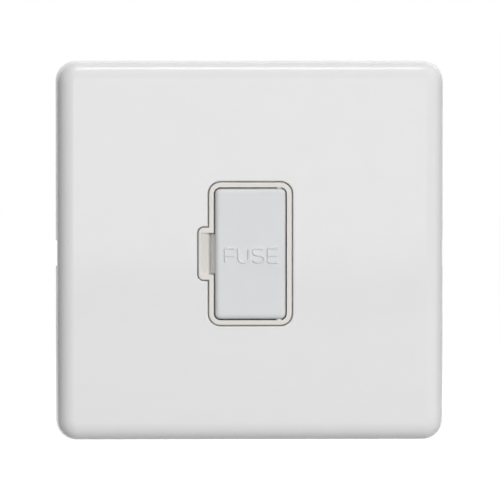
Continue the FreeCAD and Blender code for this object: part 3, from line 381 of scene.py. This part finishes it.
def lay_floor():
    """A wide pale disc below the object: white to the eye, but for the object's soft shadow."""
    angles = np.linspace(0, 2 * np.pi, FLOOR_STEPS, endpoint=False)
    rim = np.stack([np.cos(angles), np.sin(angles), np.zeros(FLOOR_STEPS)], 1) * FLOOR_RADIUS
    rim[:, 2] = plate_low.z - FLOOR_DROP
    mesh = bpy.data.meshes.new("floor")
    mesh.from_pydata(rim.tolist(), [], [list(range(FLOOR_STEPS))])
    floor = bpy.data.objects.new("floor", mesh)
    bpy.context.scene.collection.objects.link(floor)

    material = bpy.data.materials.new("floor_paper")
    material.use_nodes = True
    tree = material.node_tree
    tree.nodes.clear()
    dull = tree.nodes.new("ShaderNodeBsdfDiffuse")
    dull.inputs["Color"].default_value = (FLOOR_BOUNCE, FLOOR_BOUNCE, FLOOR_BOUNCE, 1)
    seen = tree.nodes.new("ShaderNodeBsdfDiffuse")
    seen.inputs["Color"].default_value = (FLOOR_SHADE, FLOOR_SHADE, FLOOR_SHADE, 1)
    glow = tree.nodes.new("ShaderNodeEmission")
    glow.inputs["Strength"].default_value = FLOOR_GLOW
    both = tree.nodes.new("ShaderNodeAddShader")
    tree.links.new(seen.outputs[0], both.inputs[0])
    tree.links.new(glow.outputs[0], both.inputs[1])
    mix = tree.nodes.new("ShaderNodeMixShader")
    tree.links.new(direct_view(tree), mix.inputs["Fac"])
    tree.links.new(dull.outputs[0], mix.inputs[1])
    tree.links.new(both.outputs[0], mix.inputs[2])
    output = tree.nodes.new("ShaderNodeOutputMaterial")
    tree.links.new(mix.outputs[0], output.inputs["Surface"])
    mesh.materials.append(material)


# Meshes worked out on grids

JOIN_GAP = 1e-7


def grid_faces(rows, columns, closed):
    """Return the quads of a grid of points; a closed one joins its last column to its first."""
    across = columns if closed else columns - 1
    r, c = np.meshgrid(np.arange(rows - 1), np.arange(across), indexing="ij")
    down, right = r + 1, (c + 1) % columns
    quads = np.stack(
        [r * columns + c, down * columns + c, down * columns + right, r * columns + right], -1
    )
    return quads.reshape(-1, 4)


def new_piece(name, sheets, finish, body):
    """Join grids of points into one closed mesh piece that rides on a body.

    Each sheet is an array of points, rows by columns by three, and whether it closes across.
    """
    points, faces, count = [], [], 0
    for grid, closed in sheets:
        rows, columns = grid.shape[:2]
        points.append(grid.reshape(-1, 3))
        faces.append(grid_faces(rows, columns, closed) + count)
        count += rows * columns
    mesh = bpy.data.meshes.new(name)
    mesh.from_pydata(np.concatenate(points).tolist(), [], np.concatenate(faces).tolist())
    shell = bmesh.new()
    shell.from_mesh(mesh)
    bmesh.ops.remove_doubles(shell, verts=shell.verts, dist=JOIN_GAP)
    bmesh.ops.recalc_face_normals(shell, faces=shell.faces)
    shell.to_mesh(mesh)
    shell.free()
    mesh.shade_smooth()
    mesh.set_sharp_from_angle(angle=EDGE_TURN)
    mesh.materials.append(finish)
    piece = bpy.data.objects.new(name, mesh)
    bpy.context.scene.collection.objects.link(piece)
    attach(piece, body)
    return piece


# Slotted screws, in millimetres

SLOT_WIDTH = 0.8
SLOT_DEPTH = 0.7
HEAD_CROWN = 0.12
HEAD_ROUND = 0.35
TIP_CHAMFER = 0.4
THREAD_DEPTH = 0.16
THREAD_ROWS = 6
HEAD_CHORDS = 10
TURN_STEP = 137.5
SCREWS = {
    # node: columns, rows, head radius, head height, shank radius, thread pitch, way out along Y
    "terminal_screws": (3, 2, 2.8, 2.4, 1.75, 0.6, 1),
    "frame_screws": (2, 2, 2.3, 1.2, 1.1, 0.8, -1),
    "cover_screws": (2, 1, 2.3, 1.2, 1.1, 0.9, 1),
    "earth_bond_screw": (1, 1, 2.6, 1.4, 1.4, 0.7, -1),
}


def slotted_screw(length, head, height, shank, pitch):
    """Return the grids of a screw with its axis along the third direction and its top at 0.

    The head's top is a disc cut into chords: crowned as the square of the radius, and dropped
    to the slot's floor between the two middle chords. The same chord ends go down as rings:
    round the rim as a quarter circle, in under the head, along the shank, where the radius
    rises and falls once every pitch of a helix, and in along the chamfer to the tip.
    """
    rim = head - HEAD_ROUND
    sweep = np.linspace(0, math.acos(SLOT_WIDTH / 2 / rim), HEAD_CHORDS)
    left = -rim * np.cos(sweep)
    chords = np.concatenate([left, left[-1:], -left[-1:], -left[::-1]])
    in_slot = np.zeros(len(chords), bool)
    in_slot[HEAD_CHORDS : HEAD_CHORDS + 2] = True
    half = np.sqrt(np.clip(rim**2 - chords**2, 0, None))
    share = np.linspace(-1, 1, 2 * HEAD_CHORDS + 1)[:, None]
    along = share * half
    fall = HEAD_CROWN * (chords**2 + along**2) / rim**2
    fall = np.where(in_slot, SLOT_DEPTH, fall)
    disc = np.stack([np.broadcast_to(chords, along.shape), along, -fall], -1)

    ring = np.concatenate([np.arctan2(half, chords), np.arctan2(-half, chords)[::-1]])
    ring_slot = np.concatenate([in_slot, in_slot[::-1]])
    corner = np.linspace(0, np.pi / 2, 5)
    rows = [
        (rim + HEAD_ROUND * math.sin(a), HEAD_CROWN + HEAD_ROUND * (1 - math.cos(a)), 0)
        for a in corner
    ]
    rows.append((head, height, 0))
    shank_end = length - TIP_CHAMFER
    for depth in np.arange(height, shank_end, pitch / THREAD_ROWS):
        fade = min(1, (depth - height) / pitch, (shank_end - depth) / pitch)
        rows.append((shank, depth, fade))
    rows += [(shank, shank_end, 0), (shank - TIP_CHAMFER, length, 0), (0, length, 0)]
    radius, depth, fade = np.array(rows).T[..., None]
    wave = np.abs(2 * ((depth / pitch - ring / (2 * np.pi)) % 1) - 1)
    radius = radius - THREAD_DEPTH * fade * wave
    depth = np.where(ring_slot, np.maximum(depth, SLOT_DEPTH), depth)
    body = np.stack([radius * np.cos(ring), radius * np.sin(ring), -depth], -1)
    return [(disc, False), (body, True)]


def place_screws(node, finishes):
    """Replace a node's plain screws with slotted, threaded ones at the same places."""
    columns, rows, head, height, shank, pitch, way = SCREWS[node]
    low, high = (np.array(corner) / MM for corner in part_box(node))
    across = np.linspace(low[0] + head, high[0] - head, columns)
    upward = np.linspace(low[2] + head, high[2] - head, rows)
    top = high[1] if way > 0 else low[1]
    sheets = []
    for number, (x, z) in enumerate((x, z) for x in across for z in upward):
        turn = math.radians(TURN_STEP * (number + 1))
        for grid, closed in slotted_screw(high[1] - low[1], head, height, shank, pitch):
            u = grid[..., 0] * math.cos(turn) - grid[..., 1] * math.sin(turn)
            v = grid[..., 0] * math.sin(turn) + grid[..., 1] * math.cos(turn)
            place = np.stack([x + u, top + way * grid[..., 2], z + v], -1) * MM
            sheets.append((place, closed))
    slot = slot_of(node)
    piece = new_piece(f"{node}_turned", sheets, finishes[slot], "spur_unit")
    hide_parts(node)


# Fuse caps, in millimetres

CAP_WALL = 0.27
CAP_ROUND = 0.5
CAP_LIP = 0.1
CAP_END = 0.4
CRIMP_PLACE = 1.5
CRIMP_WIDTH = 0.3
CRIMP_DEPTH = 0.12
CAP_COLUMNS = 72


def place_cap(node, way, finishes):
    """Replace a plain fuse cap with a drawn cup: rounded end, rolled mouth and a crimped ring.

    The section is turned about the fuse's axis. Along the side its radius dips as a bell curve
    at the crimp.
    """
    low, high = (np.array(corner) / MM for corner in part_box(node))
    centre = (low + high) / 2
    radius, length = (high[0] - low[0]) / 2, high[2] - low[2]
    corner = np.linspace(0, np.pi / 2, 7)
    end = [(0, length)]
    end += [
        (radius - CAP_ROUND + CAP_ROUND * math.sin(a), length - CAP_ROUND + CAP_ROUND * math.cos(a))
        for a in corner
    ]
    side = [
        (radius - CRIMP_DEPTH * math.exp(-(((h - CRIMP_PLACE) / CRIMP_WIDTH) ** 2)), h)
        for h in np.linspace(length - CAP_ROUND, CAP_LIP, 40)[1:]
    ]
    mouth = [(radius - CAP_LIP, 0), (radius - CAP_WALL, 0)]
    inside = [(radius - CAP_WALL, length - CAP_END), (0, length - CAP_END)]
    radii, levels = np.array(end + side + mouth + inside).T[..., None]
    turn = np.linspace(0, 2 * np.pi, CAP_COLUMNS, endpoint=False)[None]
    mouth_level = low[2] if way > 0 else high[2]
    place = np.stack(
        [
            centre[0] + radii * np.cos(turn),
            centre[1] + radii * np.sin(turn),
            mouth_level + way * levels + 0 * turn,
        ],
        -1,
    )
    slot = slot_of(node)
    piece = new_piece(f"{node}_drawn", [(place * MM, True)], finishes[slot], "carrier")
    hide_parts(node)


# Raised lettering

BEAD_ROUND = 9
BEAD_STEP = 0.06 * MM
BEAD_FOOT = 0.02


def line(start, end):
    """Points of a straight stroke, evenly spaced."""
    start, end = np.array(start, float), np.array(end, float)
    count = max(3, int(np.linalg.norm(end - start) * MM / BEAD_STEP))
    share = np.linspace(0, 1, count)[:, None]
    return start + (end - start) * share


def arc(centre, across, up, start, end):
    """Points of an elliptical arc from one angle to another, in degrees."""
    angles = np.radians([start, end])
    count = max(5, int(abs(angles[1] - angles[0]) * max(across, up) * MM / BEAD_STEP))
    turn = np.linspace(*angles, count)
    return np.stack([centre[0] + across * np.cos(turn), centre[1] + up * np.sin(turn)], 1)


def bead(path, half_width, height, origin, right, up):
    """Points of a raised half-round stroke, closed below, on a flat face.

    Across the path the section is half an ellipse, half_width wide to each side and height
    tall; towards both ends it shrinks as a quarter circle does, so the ends are round. The
    foot stands a little inside the face.
    """
    steps = np.linalg.norm(np.diff(path, axis=0), axis=1)
    run = np.concatenate([[0], np.cumsum(steps)])
    to_end = np.minimum(run, run[-1] - run)
    shrink = np.sqrt(np.clip(1 - (1 - np.clip(to_end / half_width, 0, 1)) ** 2, 0, 1))
    tangent = np.gradient(path, axis=0)
    tangent /= np.linalg.norm(tangent, axis=1)[:, None]
    side = np.stack([-tangent[:, 1], tangent[:, 0]], 1)
    turn = np.linspace(0, np.pi, BEAD_ROUND)
    spread = half_width * shrink[:, None] * np.cos(turn)
    flat = path[:, None] + side[:, None] * spread[..., None]
    lift = (height + BEAD_FOOT) * np.sin(turn)[None] * shrink[:, None] - BEAD_FOOT
    out = np.cross(right, up)
    place = flat[..., :1] * np.array(right) + flat[..., 1:] * np.array(up) + lift[..., None] * out
    return np.array(origin) + place * MM


WORD_STROKE = 0.28
WORD_HEIGHT = 0.36
WORD_TOP = 1.25
WORD_FOOT = -1.98


def word_strokes():
    """Return the strokes of the carrier's function word, in millimetres on its face."""
    top, foot = WORD_TOP, WORD_FOOT
    middle = (top + foot) / 2 - 0.1
    f_left, f_right = -5.7, -3.4
    u_left, u_right = -2.75, -0.4
    s_left, s_right = 0.5, 3.1
    e_left, e_right = 3.95, 6.3
    u_half = (u_right - u_left) / 2
    s_half = (s_right - s_left) / 2
    s_middle = (s_left + s_right) / 2
    bowl = (top - foot) / 4
    letter_f = [
        line((f_left, foot), (f_left, top)),
        line((f_left, top), (f_right, top)),
        line((f_left, middle), (f_right - 0.15, middle)),
    ]
    letter_u = [
        np.concatenate(
            [
                line((u_left, top), (u_left, foot + u_half)),
                arc((u_left + u_half, foot + u_half), u_half, u_half, 180, 360)[1:-1],
                line((u_right, foot + u_half), (u_right, top)),
            ]
        )
    ]
    letter_s = [
        np.concatenate(
            [
                arc((s_middle, top - bowl), s_half * 0.92, bowl, 20, 235)[:-1],
                arc((s_middle, foot + bowl), s_half, bowl, 55, -160)[1:],
            ]
        )
    ]
    letter_e = [
        line((e_left, foot), (e_left, top)),
        line((e_left, top), (e_right, top)),
        line((e_left, middle), (e_right - 0.12, middle)),
        line((e_left, foot), (e_right, foot)),
    ]
    return letter_f + letter_u + letter_s + letter_e


def raise_word(finishes):
    """Raise the function word on the carrier's face."""
    face = (0, CARRIER_FRONT, 0)
    sheets = [
        (bead(path, WORD_STROKE, WORD_HEIGHT, face, (1, 0, 0), (0, 0, 1)), True)
        for path in word_strokes()
    ]
    new_piece("carrier_word", sheets, finishes["carrier_moulding"], "carrier")


# Terminal marks on the rear cover, drawn as seen from behind

MARK_STROKE = 0.22
MARK_HEIGHT = 0.25
MARK_TALL = 2.0
MARK_WIDE = 1.3
TERMINAL_PITCH = 15.0
MARK_RISE = 15.4


def mark_strokes(kind):
    """Return the strokes of one terminal mark about its own middle, in millimetres."""
    half_wide, half_tall = MARK_WIDE / 2, MARK_TALL / 2
    if kind == "line":
        return [
            line((-half_wide, half_tall), (-half_wide, -half_tall)),
            line((-half_wide, -half_tall), (half_wide, -half_tall)),
        ]
    if kind == "neutral":
        return [
            line((-half_wide, -half_tall), (-half_wide, half_tall)),
            line((-half_wide, half_tall), (half_wide, -half_tall)),
            line((half_wide, -half_tall), (half_wide, half_tall)),
        ]
    bars = [line((0, half_tall), (0, 0.1))]
    for row, share in enumerate((1.0, 0.62, 0.26)):
        level = 0.1 - row * 0.5
        bars.append(line((-half_wide * share, level), (half_wide * share, level)))
    return bars


def raise_marks(finishes):
    """Raise the line, neutral and earth marks beside the rear screw openings."""
    sheets = []
    for rise in (MARK_RISE, -MARK_RISE):
        for across, kind in ((TERMINAL_PITCH, "line"), (0, "earth"), (-TERMINAL_PITCH, "neutral")):
            centre = (-across * MM, COVER_REAR, rise * MM)
            for path in mark_strokes(kind):
                place = bead(path, MARK_STROKE, MARK_HEIGHT, centre, (-1, 0, 0), (0, 0, 1))
                sheets.append((place, True))
    finish = finishes["cover_moulding"]
    new_piece("terminal_marks", sheets, finish, "spur_unit")


bpy.context.scene.view_settings.view_transform = "Standard"
place_camera()
light_sky()
for name, setting in LAMPS.items():
    add_lamp(name, *setting)
lay_floor()
finishes = make_finishes()
dress_cad_nodes(finishes)
for name, width in SOFT_EDGES.items():
    soften_edges(name, width)
for node in SCREWS:
    place_screws(node, finishes)
place_cap("fuse_cap_top", 1, finishes)
place_cap("fuse_cap_bottom", -1, finishes)
raise_word(finishes)
raise_marks(finishes)
